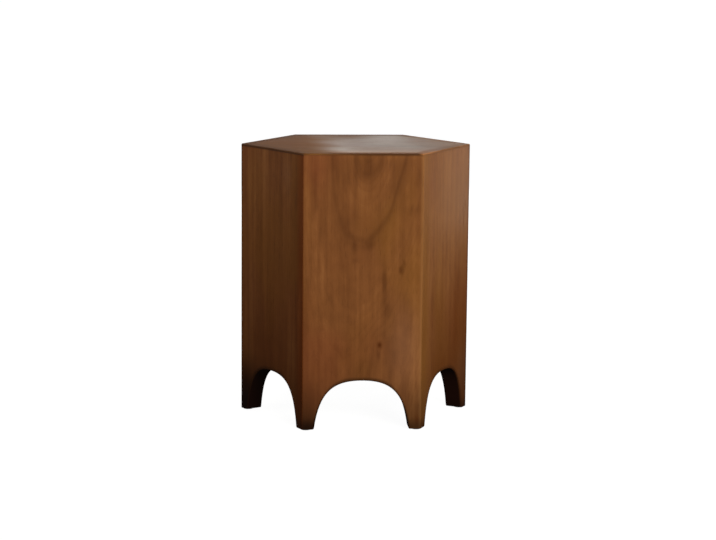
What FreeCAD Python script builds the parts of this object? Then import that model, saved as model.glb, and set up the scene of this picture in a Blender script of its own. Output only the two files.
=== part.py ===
"""Hexagonal side table: mitred side panels with arched feet, and a mitred top of edge-glued boards."""

import FreeCAD
import Part

import math
import os

from FreeCAD import Vector

# Overall sizes, in millimetres. The origin is on the floor under the middle of the top.
HEIGHT = 470.0
SIDE = 200.0
SIDES = 6

# Boards
PANEL_T = 30.0
TOP_T = 30.0
TOP_LIP = 2.5
TOP_BOARDS = ("front", "middle", "back")

# Eased edges
CORNER_ROUND = 3.5
TOP_ROUND = 2.0
FOOT_ROUND = 3.0

# Arched cut-out between the feet of a panel. The slant, in degrees, is how far a foot's inner side leans at
# its tip. The fullness, from 0 to 1, is how far the curve swells towards the corners of a straight opening.
FOOT_WIDTH = 19.5
FOOT_SLANT = 7.8
ARCH_RISE = 84.0
ARCH_FULLNESS = 0.742

# Loose splines in the mitres
SPLINE_T = 6.0
SPLINE_WIDTH = 23.0
SPLINE_FROM_CORNER = 22.0
SPLINE_ABOVE_ARCH = 20.0
SPLINE_BELOW_TOP = 20.0
GROOVE_SIDE_CLEARANCE = 0.1
GROOVE_END_CLEARANCE = 0.5

# Cleats and corner blocks under the top
CLEAT_DEPTH = 22.0
CLEAT_HEIGHT = 22.0
CLEAT_END_GAP = 2.0
BLOCK_LEG = 30.0
BLOCK_HEIGHT = 60.0

# Countersunk wood screws. The cover is the wood left between a screw's point and the face that shows.
SCREW_D = 4.0
SCREW_HEAD_D = 8.0
SCREW_POINT = 5.0
SCREW_COVER = 12.0
SCREW_CLEARANCE = 0.05
RECESS_SPAN = 4.4
RECESS_SLOT = 1.1
RECESS_DEPTH = 1.6
CLEAT_SCREW_FROM_END = 11.0
TOP_SCREW_FROM_END = 29.0

# Felt pads under the feet, set in from the outer faces
PAD_D = 18.0
PAD_T = 1.5
PAD_INSET = 1.9

# Values worked out from the sizes above
TURN = 360.0 / SIDES
HALF_TURN = math.radians(TURN / 2)
APOTHEM = SIDE / (2 * math.tan(HALF_TURN))
CORNER_R = SIDE / (2 * math.sin(HALF_TURN))
INNER_APOTHEM = APOTHEM - PANEL_T
INNER_HALF_WIDTH = INNER_APOTHEM * math.tan(HALF_TURN)
INNER_CORNER_R = INNER_APOTHEM / math.cos(HALF_TURN)
ARCH_HALF_WIDTH = SIDE / 2 - FOOT_WIDTH
ARCH_TOP = PAD_T + ARCH_RISE
ARCH_CORNER = ARCH_HALF_WIDTH - ARCH_RISE * math.tan(math.radians(FOOT_SLANT))
LIP_Z = HEIGHT - TOP_LIP
UNDER_TOP_Z = HEIGHT - TOP_T
BEVEL_RUN = TOP_T - TOP_LIP
BOARD_WIDTH = 2 * APOTHEM / len(TOP_BOARDS)
SPLINE_Z0 = ARCH_TOP + SPLINE_ABOVE_ARCH
SPLINE_Z1 = UNDER_TOP_Z - SPLINE_BELOW_TOP
CLEAT_HALF_LENGTH = INNER_HALF_WIDTH - BLOCK_LEG - CLEAT_END_GAP
CLEAT_SCREW_LENGTH = CLEAT_DEPTH + PANEL_T - SCREW_COVER
TOP_SCREW_LENGTH = CLEAT_HEIGHT + TOP_T - SCREW_COVER
PAD_FROM_CORNER = (PAD_D / 2 + PAD_INSET) / math.cos(HALF_TURN)

# Names go round from the front, which faces -Y, anticlockwise seen from above
PANELS = ("front", "front_right", "back_right", "back", "back_left", "front_left")
CORNERS = ("front_right", "right", "back_right", "back_left", "left", "front_left")
FIRST_CORNER_ANGLE = -90.0 + TURN / 2

ORIGIN = Vector(0, 0, 0)
X_AXIS = Vector(1, 0, 0)
Y_AXIS = Vector(0, 1, 0)
Z_AXIS = Vector(0, 0, 1)


def turned(shape, angle):
    """A copy of shape turned about the table's axis, in degrees."""
    copy = shape.copy()
    copy.rotate(ORIGIN, Z_AXIS, angle)
    return copy


def placed(shape, position, direction):
    """A copy of a shape that points up, moved so that it starts at position and points in direction."""
    copy = shape.copy()
    copy.Placement = FreeCAD.Placement(position, FreeCAD.Rotation(Z_AXIS, direction))
    return copy


def all_round(shapes):
    """The shapes of one side repeated round the table."""
    return [turned(s, TURN * i) for i in range(SIDES) for s in shapes]


def face_of(points):
    """A flat face with straight sides through the points."""
    return Part.Face(Part.makePolygon(points + points[:1]))


def hexagon(apothem, z):
    """The table's outline at a height, as a closed wire with flats to the front and back."""
    radius = apothem / math.cos(HALF_TURN)
    angles = [math.radians(FIRST_CORNER_ANGLE + TURN * i) for i in range(SIDES)]
    points = [Vector(radius * math.cos(a), radius * math.sin(a), z) for a in angles]
    return Part.makePolygon(points + points[:1])


def outer_body():
    """The whole table as one block with its corners and rim eased. Every outer piece is cut from it."""
    prism = Part.Face(hexagon(APOTHEM, PAD_T)).extrude(Z_AXIS * (HEIGHT - PAD_T))
    upright = [e for e in prism.Edges if e.BoundBox.ZLength > HEIGHT / 2]
    eased = prism.makeFillet(CORNER_ROUND, upright)
    rim = [e for e in eased.Edges if e.BoundBox.ZMin > UNDER_TOP_Z]
    return eased.makeFillet(TOP_ROUND, rim)


def top_blank():
    """The space of the top: a lip of full size over an edge mitred at 45 degrees to the underside."""
    lip = Part.Face(hexagon(APOTHEM, LIP_Z)).extrude(Z_AXIS * TOP_LIP)
    underside = hexagon(APOTHEM - BEVEL_RUN, UNDER_TOP_Z)
    mitred = Part.makeLoft([underside, hexagon(APOTHEM, LIP_Z)], True, True)
    return lip.fuse(mitred).removeSplitter()


def arch_cutter():
    """A smooth arch through the front panel: one cubic curve from each foot's tip to the crown."""
    # The cut starts one thickness in front of the panel and ends one thickness behind it
    y, depth = -APOTHEM - PANEL_T, 3 * PANEL_T
    crown = Vector(0, y, ARCH_TOP)
    tips = [Vector(side * ARCH_HALF_WIDTH, y, PAD_T) for side in (-1, 1)]
    outline = [Part.LineSegment(*tips).toShape()]
    for side, tip in zip((-1, 1), tips):
        corner = Vector(side * ARCH_CORNER, y, ARCH_TOP)
        swell = [end + (corner - end) * ARCH_FULLNESS for end in (tip, crown)]
        curve = Part.BezierCurve()
        curve.setPoles([tip, *swell, crown])
        outline.append(curve.toShape())
    return Part.Face(Part.Wire(Part.__sortEdges__(outline))).extrude(Y_AXIS * depth)


def rounded_tips(panel):
    """The front panel with the edge of each foot's tip, which runs through the panel, rounded."""
    tips = []
    for edge in panel.Edges:
        box = edge.BoundBox
        through = box.YLength > PANEL_T / 2 and box.XLength < FOOT_ROUND
        if through and box.ZMax < PAD_T + FOOT_ROUND:
            tips.append(edge)
    return panel.makeFillet(FOOT_ROUND, tips)


def panel_wedge():
    """The front panel's share of the table: a board with both sides cut to the mitre."""
    outline = [
        Vector(-SIDE / 2, -APOTHEM, PAD_T),
        Vector(SIDE / 2, -APOTHEM, PAD_T),
        Vector(INNER_HALF_WIDTH, -INNER_APOTHEM, PAD_T),
        Vector(-INNER_HALF_WIDTH, -INNER_APOTHEM, PAD_T),
    ]
    return face_of(outline).extrude(Z_AXIS * (HEIGHT - PAD_T))


def spline(side_clearance=0.0, end_clearance=0.0):
    """A loose spline at the corner on +X, set square across the mitre, or its groove with clearance."""
    t = SPLINE_T + 2 * side_clearance
    w = SPLINE_WIDTH + 2 * end_clearance
    height = SPLINE_Z1 - SPLINE_Z0 + 2 * end_clearance
    middle = CORNER_R - SPLINE_FROM_CORNER
    return Part.makeBox(t, w, height, Vector(middle - t / 2, -w / 2, SPLINE_Z0 - end_clearance))


def corner_block():
    """A three-cornered glue block in the inside corner on +X, under the top."""
    run = Vector(-math.sin(HALF_TURN), math.cos(HALF_TURN), 0) * BLOCK_LEG
    corner = Vector(INNER_CORNER_R, 0, UNDER_TOP_Z - BLOCK_HEIGHT)
    mirrored = Vector(run.x, -run.y, 0)
    return face_of([corner, corner + run, corner + mirrored]).extrude(Z_AXIS * BLOCK_HEIGHT)


def cleat_blank():
    """A square batten along the inside of the front panel, under the top, between two corner blocks."""
    at = Vector(-CLEAT_HALF_LENGTH, -INNER_APOTHEM, UNDER_TOP_Z - CLEAT_HEIGHT)
    return Part.makeBox(2 * CLEAT_HALF_LENGTH, CLEAT_DEPTH, CLEAT_HEIGHT, at)


def screw_hole(length, clearance=SCREW_CLEARANCE):
    """The hole that a countersunk screw fills, pointing up from its head's flat face at the origin."""
    r, head = SCREW_D / 2 + clearance, SCREW_HEAD_D / 2 + clearance
    outline = [
        Vector(0, 0, 0),
        Vector(head, 0, 0),
        Vector(r, 0, head - r),
        Vector(r, 0, length - SCREW_POINT),
        Vector(0, 0, length + clearance),
    ]
    return face_of(outline).revolve(ORIGIN, Z_AXIS, 360)


def screw(length):
    """A countersunk screw with a cross recess in its head, pointing up."""
    body = screw_hole(length, clearance=0.0)
    slot_at = Vector(-RECESS_SPAN / 2, -RECESS_SLOT / 2, 0)
    slot = Part.makeBox(RECESS_SPAN, RECESS_SLOT, RECESS_DEPTH, slot_at)
    for angle in (0, 90):
        body = body.cut(turned(slot, angle))
    return body


def cleat_screws(make):
    """The front cleat's screws into its panel, or their holes, as make gives them."""
    shape = make(CLEAT_SCREW_LENGTH)
    x = CLEAT_HALF_LENGTH - CLEAT_SCREW_FROM_END
    y = -INNER_APOTHEM + CLEAT_DEPTH
    z = UNDER_TOP_Z - CLEAT_HEIGHT / 2
    return [placed(shape, Vector(side * x, y, z), -Y_AXIS) for side in (-1, 1)]


def top_screws(make):
    """The front cleat's screws up into the top, or their holes, as make gives them."""
    shape = make(TOP_SCREW_LENGTH)
    x = CLEAT_HALF_LENGTH - TOP_SCREW_FROM_END
    y = -INNER_APOTHEM + CLEAT_DEPTH / 2
    z = UNDER_TOP_Z - CLEAT_HEIGHT
    return [placed(shape, Vector(side * x, y, z), Z_AXIS) for side in (-1, 1)]


def foot_pad():
    """A round felt pad under the foot at the corner on +X."""
    return Part.makeCylinder(PAD_D / 2, PAD_T, Vector(CORNER_R - PAD_FROM_CORNER, 0, 0))


def side_panel(body, top):
    """The front panel: its wedge of the body, under the top, with arch, grooves and screw holes cut."""
    panel = rounded_tips(panel_wedge().common(body).cut(top).cut(arch_cutter()))
    groove = spline(GROOVE_SIDE_CLEARANCE, GROOVE_END_CLEARANCE)
    for angle in (FIRST_CORNER_ANGLE, FIRST_CORNER_ANGLE - TURN):
        panel = panel.cut(turned(groove, angle))
    for hole in cleat_screws(screw_hole):
        panel = panel.cut(hole)
    return panel


def top_cleat():
    """The front cleat with its screw holes."""
    cleat = cleat_blank()
    for hole in cleat_screws(screw_hole) + top_screws(screw_hole):
        cleat = cleat.cut(hole)
    return cleat


def top_boards(body, top):
    """The top's boards, front to back, each a strip of the whole top with its screw holes."""
    whole = top.common(body)
    for hole in all_round(top_screws(screw_hole)):
        whole = whole.cut(hole)
    boards = []
    for i in range(len(TOP_BOARDS)):
        strip_at = Vector(-CORNER_R, -APOTHEM + BOARD_WIDTH * i, UNDER_TOP_Z)
        strip = Part.makeBox(2 * CORNER_R, BOARD_WIDTH, TOP_T, strip_at)
        boards.append(whole.common(strip))
    return boards


def make_parts():
    """Every piece of the table, by name."""
    body, top = outer_body(), top_blank()
    panel, cleat = side_panel(body, top), top_cleat()
    parts = {}
    for i, name in enumerate(PANELS):
        parts["side_panel_" + name] = turned(panel, TURN * i)
        parts["top_cleat_" + name] = turned(cleat, TURN * i)
    for i, name in enumerate(CORNERS):
        angle = FIRST_CORNER_ANGLE + TURN * i
        parts["corner_spline_" + name] = turned(spline(), angle)
        parts["corner_block_" + name] = turned(corner_block(), angle)
        parts["foot_pad_" + name] = turned(foot_pad(), angle)
    for name, board in zip(TOP_BOARDS, top_boards(body, top)):
        parts["top_board_" + name] = board
    parts["cleat_screws"] = Part.makeCompound(all_round(cleat_screws(screw)))
    parts["top_screws"] = Part.makeCompound(all_round(top_screws(screw)))
    return parts


def main():
    os.makedirs("parts", exist_ok=True)
    for name, shape in make_parts().items():
        shape.exportStep(os.path.join("parts", name + ".step"))
        count, volume = len(shape.Solids), shape.Volume / 1000
        print(f"{name}: {count} solids, valid {shape.isValid()}, {volume:.1f} cm3")


main()
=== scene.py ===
# %% [markdown]
# # A hexagonal side table in brown wood
# The table is a drum of six upright boards, mitred at the corners, under a flat top. An arch cut in the
# foot of each board leaves a pointed foot at each corner. The measured model of the table is loaded as a
# fixed frame, and everything below is shaped and finished in that frame, in metres.

# %% Load the frame
import math

import bpy
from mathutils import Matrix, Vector


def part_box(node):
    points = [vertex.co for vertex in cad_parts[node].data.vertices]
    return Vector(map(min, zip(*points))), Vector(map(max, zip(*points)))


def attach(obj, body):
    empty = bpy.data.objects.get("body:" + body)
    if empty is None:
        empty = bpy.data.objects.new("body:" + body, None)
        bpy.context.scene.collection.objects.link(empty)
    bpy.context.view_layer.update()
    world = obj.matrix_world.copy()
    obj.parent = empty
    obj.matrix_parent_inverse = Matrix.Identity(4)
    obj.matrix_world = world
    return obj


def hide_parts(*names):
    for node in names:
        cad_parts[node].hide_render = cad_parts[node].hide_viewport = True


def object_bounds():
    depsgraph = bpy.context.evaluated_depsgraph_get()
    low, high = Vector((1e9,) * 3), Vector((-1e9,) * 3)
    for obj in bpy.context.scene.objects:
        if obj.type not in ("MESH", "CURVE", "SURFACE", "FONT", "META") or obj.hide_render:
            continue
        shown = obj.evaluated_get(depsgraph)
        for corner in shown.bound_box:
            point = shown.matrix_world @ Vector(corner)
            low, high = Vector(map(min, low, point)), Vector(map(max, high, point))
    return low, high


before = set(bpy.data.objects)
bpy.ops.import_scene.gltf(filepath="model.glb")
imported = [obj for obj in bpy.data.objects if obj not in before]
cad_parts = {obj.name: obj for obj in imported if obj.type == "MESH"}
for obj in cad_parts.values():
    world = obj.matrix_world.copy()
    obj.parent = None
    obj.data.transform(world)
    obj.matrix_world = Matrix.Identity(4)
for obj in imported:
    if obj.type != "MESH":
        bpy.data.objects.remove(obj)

CAD_LOW, CAD_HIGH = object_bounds()
print("frame:", len(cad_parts), "nodes, box", [round(v, 4) for v in (*CAD_LOW, *CAD_HIGH)])

# %% [markdown]
# The sizes that the looks need are read from the frame where its boxes give them. The curve of the arch
# and the easing of the edges aren't in any box, so they are written here as the maker would measure them.

# %% Measure the table
TURN = math.radians(60)
HALF_TURN = TURN / 2
PANEL_NAMES = ("front", "front_right", "back_right", "back", "back_left", "front_left")
CORNER_NAMES = ("front_right", "right", "back_right", "back_left", "left", "front_left")
BOARD_NAMES = ("front", "middle", "back")

panel_low, panel_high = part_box("side_panel_front")
HEIGHT = CAD_HIGH.z
FOOT_Z = panel_low.z
LIP_Z = panel_high.z
UNDER_TOP_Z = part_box("top_board_front")[0].z
APOTHEM = -panel_low.y
INNER_APOTHEM = -panel_high.y
PANEL_T = APOTHEM - INNER_APOTHEM
SIDE = 2 * APOTHEM * math.tan(HALF_TURN)
CORNER_R = APOTHEM / math.cos(HALF_TURN)
BEVEL_RUN = LIP_Z - UNDER_TOP_Z

FOOT_WIDTH = 0.0195
FOOT_SLANT = math.radians(7.8)
ARCH_RISE = 0.084
ARCH_FULLNESS = 0.742
ARCH_HALF_WIDTH = SIDE / 2 - FOOT_WIDTH
ARCH_CORNER = ARCH_HALF_WIDTH - ARCH_RISE * math.tan(FOOT_SLANT)
ARCH_TOP = FOOT_Z + ARCH_RISE
CORNER_ROUND = 0.0035
TOP_ROUND = 0.002
FOOT_ROUND = 0.003
NEAR = 0.0001
print(f"side {SIDE:.4f}, height {HEIGHT:.4f}, panel {PANEL_T:.4f}, arch {2 * ARCH_HALF_WIDTH:.4f}")

# %% [markdown]
# The camera stands where the photograph was taken: a long lens, about three and a half metres away, a
# little left of square to the front panel and looking slightly down, so that the top shows as a thin
# band. It was held half a degree out of level, which shows in the uprights.

# %% Camera
CAMERA_AZIMUTH = math.radians(4.302)
CAMERA_DISTANCE = 3.492
CAMERA_HEIGHT = 0.8052
CAMERA_YAW = 0.00149
CAMERA_PITCH = 0.15849
CAMERA_ROLL = math.radians(0.533)
FOCAL_PIXELS = 2010.6
IMAGE_WIDTH = 716
SENSOR = 36.0

bpy.ops.object.select_all(action="DESELECT")
bpy.ops.object.camera_add(
    location=(
        -CAMERA_DISTANCE * math.sin(CAMERA_AZIMUTH),
        -CAMERA_DISTANCE * math.cos(CAMERA_AZIMUTH),
        CAMERA_HEIGHT,
    ),
    rotation=(math.pi / 2 - CAMERA_PITCH, 0, -(CAMERA_AZIMUTH + CAMERA_YAW)),
)
camera = bpy.context.object
camera.name = "photo_camera"
camera.rotation_euler.rotate_axis("Z", CAMERA_ROLL)
camera.data.sensor_width = SENSOR
camera.data.lens = FOCAL_PIXELS * SENSOR / IMAGE_WIDTH
bpy.context.scene.camera = camera
print(f"camera lens {camera.data.lens:.1f} mm")

# %% [markdown]
# The stage is a pale sweep: a round floor whose rim curves up into a low wall, so that no horizon shows
# from any side. It isn't seen by bounced light, so that the underside and the hollow of the table stay as
# dark as in the photograph. Its paint comes with the other finishes.

# %% Stage
STAGE_RADIUS = 9.0
STAGE_WALL = 6.0
STAGE_CURVE = 3.0
STAGE_SIDES = 96
STAGE_CURVE_STEPS = 16


def only(piece):
    """Makes a piece the active one, and the only one selected."""
    bpy.ops.object.select_all(action="DESELECT")
    bpy.context.view_layer.objects.active = piece
    piece.select_set(True)


def edit(piece):
    """Opens one piece in edit mode, with all of it selected."""
    only(piece)
    bpy.ops.object.mode_set(mode="EDIT")
    bpy.ops.mesh.select_all(action="SELECT")


def done():
    """Back to object mode."""
    bpy.ops.object.mode_set(mode="OBJECT")


def choose_edges(piece, test):
    """Selects the edges of the piece in edit mode whose two end points pass a test."""
    bpy.ops.mesh.select_mode(type="EDGE")
    bpy.ops.mesh.select_all(action="DESELECT")
    done()
    points = piece.data.vertices
    chosen = 0
    for edge in piece.data.edges:
        edge.select = test(*(points[i].co for i in edge.vertices))
        chosen += edge.select
    bpy.ops.object.mode_set(mode="EDIT")
    return chosen


def choose_faces(piece, test):
    """Selects the faces of the piece in edit mode whose middle and normal pass a test."""
    bpy.ops.mesh.select_mode(type="FACE")
    bpy.ops.mesh.select_all(action="DESELECT")
    done()
    for face in piece.data.polygons:
        face.select = test(face.center, face.normal)
    bpy.ops.object.mode_set(mode="EDIT")


bpy.ops.object.select_all(action="DESELECT")
bpy.ops.mesh.primitive_cylinder_add(
    vertices=STAGE_SIDES, radius=STAGE_RADIUS, depth=STAGE_WALL, location=(0, 0, STAGE_WALL / 2)
)
stage = bpy.context.object
stage.name = "stage_sweep"
bpy.ops.object.transform_apply()
edit(stage)
choose_faces(stage, lambda middle, normal: normal.z > 0.5)
bpy.ops.mesh.delete(type="FACE")
choose_edges(stage, lambda a, b: max(a.z, b.z) < NEAR)
bpy.ops.mesh.bevel(offset=STAGE_CURVE, segments=STAGE_CURVE_STEPS, affect="EDGES")
bpy.ops.mesh.select_all(action="SELECT")
bpy.ops.mesh.flip_normals()
done()
bpy.ops.object.shade_smooth()
stage.visible_diffuse = False
stage.visible_glossy = False
stage.visible_shadow = False
print("stage:", len(stage.data.polygons), "faces")

# %% [markdown]
# The light is that of a room with a window in front, to the right. A large soft key gives the front its
# even brown and makes no highlights. A small window on the right and a lamp on the left, both with a
# narrow beam, lift the upper part of the panels on either side. Two dim panes stand behind only to be
# mirrored, the wide one in the polished top and the small one in the upper right panel, and a fill lights
# the back of the table.

# %% Light
ROOM_COLOUR = (1.0, 0.98, 0.96, 1)
ROOM_GLOW = 0.02


def soft_light(name, azimuth, elevation, distance, size, watts, colour, aim, spread, shine):
    """A rectangular light that looks at a height on the table's axis. Azimuth 90 is at the right.

    A spread under 180 degrees narrows the beam, as a grid does. A light without shine makes no
    highlights, as through a polarising sheet.
    """
    a, e = math.radians(azimuth), math.radians(elevation)
    way = Vector((math.sin(a) * math.cos(e), -math.cos(a) * math.cos(e), math.sin(e)))
    bpy.ops.object.light_add(type="AREA", location=Vector((0, 0, aim)) + way * distance)
    light = bpy.context.object
    light.name = name
    light.rotation_mode = "QUATERNION"
    light.rotation_quaternion = way.to_track_quat("Z", "Y")
    light.data.shape = "RECTANGLE"
    light.data.size, light.data.size_y = size
    light.data.energy = watts
    light.data.color = colour
    light.data.spread = math.radians(spread)
    light.visible_camera = False
    light.visible_glossy = shine


# Azimuth, elevation, distance, size, watts, colour, the height aimed at, spread and shine.
LIGHTS = {
    "key_window": (20, 16, 4.0, (2.2, 2.2), 172, (1.0, 0.98, 0.95), 0.24, 180, False),
    "right_window": (80, 32, 1.1, (0.6, 0.35), 0.42, (1.0, 0.98, 0.96), 0.45, 45, True),
    "left_lamp": (-78, 26, 1.3, (0.7, 0.5), 0.95, (1.0, 0.90, 0.82), 0.42, 70, True),
    "back_pane": (165, 10, 1.9, (2.0, 0.8), 4.25, (1.0, 0.985, 0.925), 0.44, 180, True),
    "side_pane": (122, -2, 1.0, (0.5, 0.4), 0.20, (1.0, 0.99, 0.96), 0.44, 180, True),
    "back_fill": (180, 16, 3.2, (2.4, 1.6), 56, (1.0, 0.985, 0.97), 0.24, 180, False),
}
for name, settings in LIGHTS.items():
    soft_light(name, *settings)

world = bpy.data.worlds.new("dim_room")
world.use_nodes = True
room = world.node_tree.nodes["Background"]
room.inputs["Color"].default_value = ROOM_COLOUR
room.inputs["Strength"].default_value = ROOM_GLOW
bpy.context.scene.world = world
bpy.context.scene.view_settings.view_transform = "Standard"

# %% [markdown]
# ## The side panels
# Each side is one thick board, mitred down both edges so that the joints fall on the corners of the
# hexagon. It could be drawn as a flat board with slanted edges, but then the rounding of a corner, which
# two boards share, would have to be faked. Here a six-sided block gets its corners rounded first, and the
# front panel is sawn out of it along the two mitres, as the rounding would be sanded after the glue-up.

# %% Saw the front panel out of a hexagonal block
CORNER_STEPS = 6
CUTTER_OVERRUN = 0.010
FILLET_REACH = CORNER_ROUND * math.tan(HALF_TURN)


def six_sided(name, low_apothem, high_apothem, low_z, high_z):
    """A six-sided block with a flat to the front, which may taper."""
    bpy.ops.object.select_all(action="DESELECT")
    bpy.ops.mesh.primitive_cone_add(
        vertices=6,
        radius1=low_apothem / math.cos(HALF_TURN),
        radius2=high_apothem / math.cos(HALF_TURN),
        depth=high_z - low_z,
        location=(0, 0, (low_z + high_z) / 2),
        rotation=(0, 0, HALF_TURN),
    )
    block = bpy.context.object
    block.name = name
    bpy.ops.object.transform_apply()
    return block


def round_corners(block):
    """Rounds the six upright edges of a block in edit mode."""
    choose_edges(block, lambda a, b: abs(a.x - b.x) + abs(a.y - b.y) < NEAR)
    bpy.ops.mesh.bevel(offset=FILLET_REACH, segments=CORNER_STEPS, affect="EDGES")


def saw(point, away):
    """Cuts the piece in edit mode by a plane, drops the side that away points to, and closes the cut."""
    bpy.ops.mesh.select_all(action="SELECT")
    bpy.ops.mesh.bisect(plane_co=point, plane_no=away, use_fill=True, clear_outer=True)


def carve(piece, tool, operation):
    """Cuts a piece with a tool's shape, and throws the tool away."""
    bpy.context.view_layer.objects.active = piece
    cut = piece.modifiers.new("cut", "BOOLEAN")
    cut.object = tool
    cut.operation = operation
    cut.solver = "EXACT"
    bpy.ops.object.modifier_apply(modifier=cut.name)
    bpy.data.objects.remove(tool)


def mitre_block():
    """The tapered block that the mitred underside of the top fills. It runs on upwards past the rim."""
    high = LIP_Z + CUTTER_OVERRUN
    return six_sided("mitre", APOTHEM - BEVEL_RUN, APOTHEM + CUTTER_OVERRUN, UNDER_TOP_Z, high)


panel = six_sided("panel_front", APOTHEM, APOTHEM, FOOT_Z, HEIGHT)
edit(panel)
round_corners(panel)
for side in (-1, 1):
    saw((0, 0, 0), (side * math.cos(HALF_TURN), math.sin(HALF_TURN), 0))
saw((0, -INNER_APOTHEM, 0), (0, 1, 0))
done()
carve(panel, mitre_block(), "DIFFERENCE")
print("panel blank:", len(panel.data.polygons), "faces")

# %% [markdown]
# The arch springs from the slanted inner sides of the feet and closes in a full, smooth crown. A half
# ellipse would stand upright at the floor and make the feet blunt, so the arch is drawn as a curve of
# three points with handles, as a fret saw would follow it, and pushed through the panel as a cutter.

# %% Draw the arch and cut it
ARCH_STEPS = 112

bpy.ops.object.select_all(action="DESELECT")
bpy.ops.curve.primitive_bezier_curve_add(location=(0, 0, 0))
arch = bpy.context.object
arch.name = "arch_cutter"
arch.data.dimensions = "3D"
line = arch.data.splines[0]
line.bezier_points.add(1)
line.use_cyclic_u = True
line.resolution_u = ARCH_STEPS // 2

arch_front = -APOTHEM - PANEL_T
crown = Vector((0, arch_front, ARCH_TOP))
foot_tips = [Vector((side * ARCH_HALF_WIDTH, arch_front, FOOT_Z)) for side in (-1, 1)]
arch_corners = [Vector((side * ARCH_CORNER, arch_front, ARCH_TOP)) for side in (-1, 1)]
for point, at in zip(line.bezier_points, (foot_tips[0], crown, foot_tips[1])):
    point.handle_left_type = point.handle_right_type = "FREE"
    point.co = point.handle_left = point.handle_right = at
left_tip, top_point, right_tip = line.bezier_points
left_tip.handle_right = foot_tips[0].lerp(arch_corners[0], ARCH_FULLNESS)
top_point.handle_left = crown.lerp(arch_corners[0], ARCH_FULLNESS)
top_point.handle_right = crown.lerp(arch_corners[1], ARCH_FULLNESS)
right_tip.handle_left = foot_tips[1].lerp(arch_corners[1], ARCH_FULLNESS)
bpy.ops.object.convert(target="MESH")

arch = bpy.context.object
edit(arch)
bpy.ops.mesh.remove_doubles(threshold=NEAR)
bpy.ops.mesh.edge_face_add()
bpy.ops.mesh.extrude_region_move(TRANSFORM_OT_translate={"value": (0, 3 * PANEL_T, 0)})
bpy.ops.mesh.select_all(action="SELECT")
bpy.ops.mesh.normals_make_consistent(inside=False)
done()
carve(panel, arch, "DIFFERENCE")
print("panel with its arch:", len(panel.data.polygons), "faces")

# %% [markdown]
# A sharp saw edge would never look like handled wood, so the tips of the feet are rounded and the rims of
# the arch are eased. The upper edge is eased too, and makes the fine joint line under the top.

# %% Ease the edges of the panel
TIP_EASE = FOOT_ROUND / math.tan((math.pi / 2 + FOOT_SLANT) / 2)
TIP_STEPS = 5
RIM_EASE = 0.0012
RIM_STEPS = 3
JOINT_EASE = 0.0004
JOINT_STEPS = 2
MERGE = NEAR / 5
SMOOTH_ANGLE = math.radians(40)
FLAT_WEIGHT = 80
INNER_HALF_WIDTH = INNER_APOTHEM * math.tan(HALF_TURN)


def foot_tip(a, b):
    """True for the edge at the inner tip of a foot, which runs through the panel."""
    low = max(a.z, b.z) < FOOT_Z + NEAR
    return low and max(abs(abs(p.x) - ARCH_HALF_WIDTH) for p in (a, b)) < NEAR


def on_face(y, half_width):
    """A test for edges of the arch and feet that lie on an upright face of the panel."""
    return lambda a, b: (
        max(abs(a.y - y), abs(b.y - y)) < NEAR
        and max(a.z, b.z) < ARCH_TOP + NEAR
        and max(abs(a.x), abs(b.x)) < half_width
    )


outer_rim = on_face(-APOTHEM, SIDE / 2 - FILLET_REACH + NEAR)
inner_rim = on_face(-INNER_APOTHEM, INNER_HALF_WIDTH + NEAR)


def arch_rim(a, b):
    """True for an edge of the arch or of a foot's sole, on either face of the panel."""
    slanted = abs(a.x - b.x) > NEAR or min(abs(a.x), abs(b.x)) < ARCH_HALF_WIDTH + FOOT_ROUND / 2
    return slanted and (outer_rim(a, b) or inner_rim(a, b))


def under_lip(a, b):
    """True for the edge of the panel that meets the lip of the top."""
    high = min(a.z, b.z) > LIP_Z - FILLET_REACH
    outside = max(a.y, b.y) < -APOTHEM + FILLET_REACH
    return high and outside and abs(a.z - b.z) < NEAR * 5


def tidy_mesh():
    """Merges doubled points, drops faces with no area and closes the small gaps, in edit mode."""
    bpy.ops.mesh.select_all(action="SELECT")
    bpy.ops.mesh.remove_doubles(threshold=MERGE)
    bpy.ops.mesh.dissolve_degenerate(threshold=MERGE)
    bpy.ops.mesh.select_all(action="SELECT")
    bpy.ops.mesh.fill_holes(sides=4)


def smooth_flats(piece):
    """Smooth easings beside flat faces: soft shading by angle, with normals that large faces rule."""
    only(piece)
    bpy.ops.object.shade_smooth_by_angle(angle=SMOOTH_ANGLE)
    weigh = piece.modifiers.new("weigh", "WEIGHTED_NORMAL")
    weigh.mode = "FACE_AREA"
    weigh.weight = FLAT_WEIGHT
    weigh.keep_sharp = True
    bpy.ops.object.modifier_apply(modifier=weigh.name)


edit(panel)
tips = choose_edges(panel, foot_tip)
bpy.ops.mesh.bevel(offset=TIP_EASE, segments=TIP_STEPS, affect="EDGES", clamp_overlap=False)
rims = choose_edges(panel, arch_rim)
bpy.ops.mesh.bevel(offset=RIM_EASE, segments=RIM_STEPS, affect="EDGES")
joints = choose_edges(panel, under_lip)
bpy.ops.mesh.bevel(offset=JOINT_EASE, segments=JOINT_STEPS, affect="EDGES")
tidy_mesh()
done()
smooth_flats(panel)
print("foot tips", tips, "rim edges", rims, "joint edges", joints, "faces", len(panel.data.polygons))

# %% [markdown]
# The other five panels are the same board, turned round the middle of the table a sixth of a turn at a
# time. Each copy gets a mesh of its own, with the turn worked into its points, so that every piece sits
# unturned at the origin and its finish can find its own place on the table.

# %% Turn the panel round the table
def copy_of(piece, name, turn=0.0):
    """A copy of a piece with a mesh of its own, turned round the middle of the table."""
    only(piece)
    bpy.ops.object.duplicate()
    copy = bpy.context.object
    copy.name = name
    copy.rotation_euler.z = turn
    bpy.ops.object.transform_apply()
    return copy


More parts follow.
